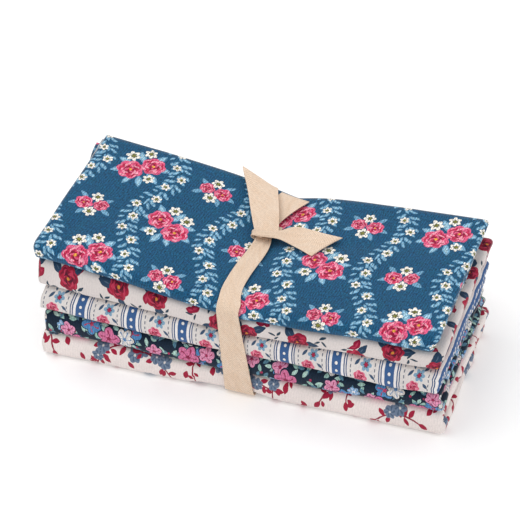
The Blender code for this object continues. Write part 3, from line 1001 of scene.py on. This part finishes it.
def cotton_tape():
    """Twill-woven cotton tape: soft ribs on the slant, a paler edge thread, old creases and painted
    shade in their hollows.
    """
    material, tree, shader = new_material("twill_cotton_tape")
    even, drawn = flat_places(tree, 0.8)
    # Its ribs lie 0.6 mm apart, too fine to show, so they are drawn 1.6 mm apart.
    rib_pitch, rib_lean = 1.6, 1.1
    half_width, edge_thread, edge_softness = TAPE_WIDTH / MM / 2, 1.1, 0.4
    crease, fleck = (66, 11, 3.2), (4, 1.9, 0.8)  # turn, length and width
    parts = put(tree, SPLIT, drawn)
    slanted = put(tree, MATH, parts, rib_lean, parts.node.outputs[1], operation="MULTIPLY_ADD")
    ribs = ridges(tree, slanted, rib_pitch)
    creases = put(tree, NOISE, placed(tree, even, 0, 0, *crease), None, 1.0, 2, 0.55)
    grain = put(tree, NOISE, placed(tree, even, 0, 0, *fleck), None, 1.1, 2, 0.6)
    side = away_from(tree, put(tree, SPLIT, even), half_width)
    inner = half_width - edge_thread
    edge = put(tree, RANGE, side, inner, inner + edge_softness, 0, 1)
    tone = put(tree, RANGE, grain, 0.3, 0.7, 0.85, 1.11)
    ribbed = put(tree, MATH, ribs, 0.09, tone, operation="MULTIPLY_ADD")
    shade = put(tree, MATH, edge, 0.04, ribbed, operation="MULTIPLY_ADD")
    # Painted shade: the tape's colour is darker and warmer where its crease bumps are low, and paler on
    # their tops.
    crease_shade_mix = put(tree, RANGE, creases, 0.3, 0.7, 0, 1)
    colour = put(tree, MIX, crease_shade_mix, linear("E6CAB0"), linear("ECD5BF"))
    toned = put(tree, VECTOR, colour, None, None, shade, operation="SCALE")
    dry = put(tree, RANGE, grain, 0.3, 0.7, 0.75, 0.9)
    soft = put(tree, BUMP, 0.5, 1.0 * MM, None, creases)
    raised = put(tree, MATH, ribs, 0.3, grain, operation="MULTIPLY_ADD")
    bump = put(tree, BUMP, 0.5, 0.4 * MM, None, raised, soft)
    dress_cotton(tree, shader, toned, dry, bump, 0.15)
    return material


PRINTS = (branch_print, navy_print, striped_print, rose_print, blue_print)
HAND_DRAWN = (1.8, 1.6, 0.6, 1.8, 1.6)  # how far each print's outlines wander, in millimetres
GRAIN_DEPTH = (0.07, 0.4, 0.09, 0.07, 0.64)  # how much light and dark threads show in each
REVERSE_DYE = 0.5  # how much of the print comes through to the reverse


# ---- the studio
FLOOR_SIZE, FLOOR_DROP, FLOOR_GLOW = 8, 0.2 * MM, 0.11
WORLD_LIGHT = 0.72
LIT_POINT = Vector((0, 0, 0.04))
Softbox = namedtuple("Softbox", "name place size watts")
SOFTBOXES = (
    Softbox("key_softbox", (-0.55, -0.1, 1.7), 1.6, 12.5),
    Softbox("fill_softbox", (1.5, 0.3, 1.0), 1.8, 4),
)
VIEW_AZIMUTH, VIEW_ELEVATION, VIEW_ROLL = 20.38, 39.83, -1.87  # in degrees
VIEW_POINT = Vector((-0.0311, 0.0712, 0))
VIEW_DISTANCE = 1.5667
SENSOR_WIDTH, LENS = 36, 152.3  # in millimetres


def add_studio():
    """A pale floor and soft white light from all round, from above and from the right."""
    bpy.ops.mesh.primitive_plane_add(size=FLOOR_SIZE, location=(0, 0, -FLOOR_DROP))
    floor = bpy.context.object
    floor.name = "pale_floor"
    # Frosted white acrylic: matt, and lit a little from below, so that shade on it stays pale.
    acrylic, _, shader = new_material("white_acrylic_lit_from_below")
    shader.inputs["Base Color"].default_value = linear("FCFCFC")
    shader.inputs["Roughness"].default_value = 0.9
    shader.inputs["Emission Color"].default_value = (1, 1, 1, 1)
    shader.inputs["Emission Strength"].default_value = FLOOR_GLOW
    floor.data.materials.append(acrylic)
    world = bpy.data.worlds.new("soft_studio")
    bpy.context.scene.world = world
    world.use_nodes = True
    sky = world.node_tree.nodes["Background"]
    sky.inputs["Color"].default_value = (1, 1, 1, 1)
    sky.inputs["Strength"].default_value = WORLD_LIGHT
    for box in SOFTBOXES:
        light = bpy.data.lights.new(box.name, "AREA")
        light.energy = box.watts
        light.size = box.size
        lamp = bpy.data.objects.new(box.name, light)
        lamp.location = box.place
        lamp.rotation_euler = (LIT_POINT - Vector(box.place)).to_track_quat("-Z", "Y").to_euler()
        bpy.context.scene.collection.objects.link(lamp)
    bpy.context.scene.view_settings.view_transform = "Standard"


def add_camera():
    azimuth, elevation = radians(VIEW_AZIMUTH), radians(VIEW_ELEVATION)
    roll, level = radians(VIEW_ROLL), cos(elevation)
    back = Vector((sin(azimuth) * level, -cos(azimuth) * level, sin(elevation)))
    right = (-back).cross(Vector((0, 0, 1))).normalized()
    up = right.cross(-back)
    turned_right = right * cos(roll) + up * sin(roll)
    turned_up = up * cos(roll) - right * sin(roll)
    data = bpy.data.cameras.new("camera")
    data.sensor_width = SENSOR_WIDTH
    data.lens = LENS
    camera = bpy.data.objects.new("camera", data)
    camera.matrix_world = (
        Matrix.Translation(VIEW_POINT + back * VIEW_DISTANCE)
        @ Matrix((turned_right, turned_up, back)).transposed().to_4x4()
    )
    bpy.context.scene.collection.objects.link(camera)
    bpy.context.scene.camera = camera


def main():
    for index, cloth in enumerate(CLOTHS):
        piece = add_cloth(index)
        name = "printed_cotton_" + cloth.slot
        for side, dyed_through in (("", 1.0), ("_reverse", REVERSE_DYE)):
            finish = printed_cotton(
                name + side, PRINTS[index], HAND_DRAWN[index], GRAIN_DEPTH[index], dyed_through
            )
            piece.data.materials.append(finish)
        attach(piece, "root")
        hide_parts(cloth.name)
    ribbon, length = add_ribbon()
    ribbon.data.materials.append(cotton_tape())
    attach(ribbon, "root")
    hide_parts("ribbon_tie")
    add_studio()
    add_camera()


main()
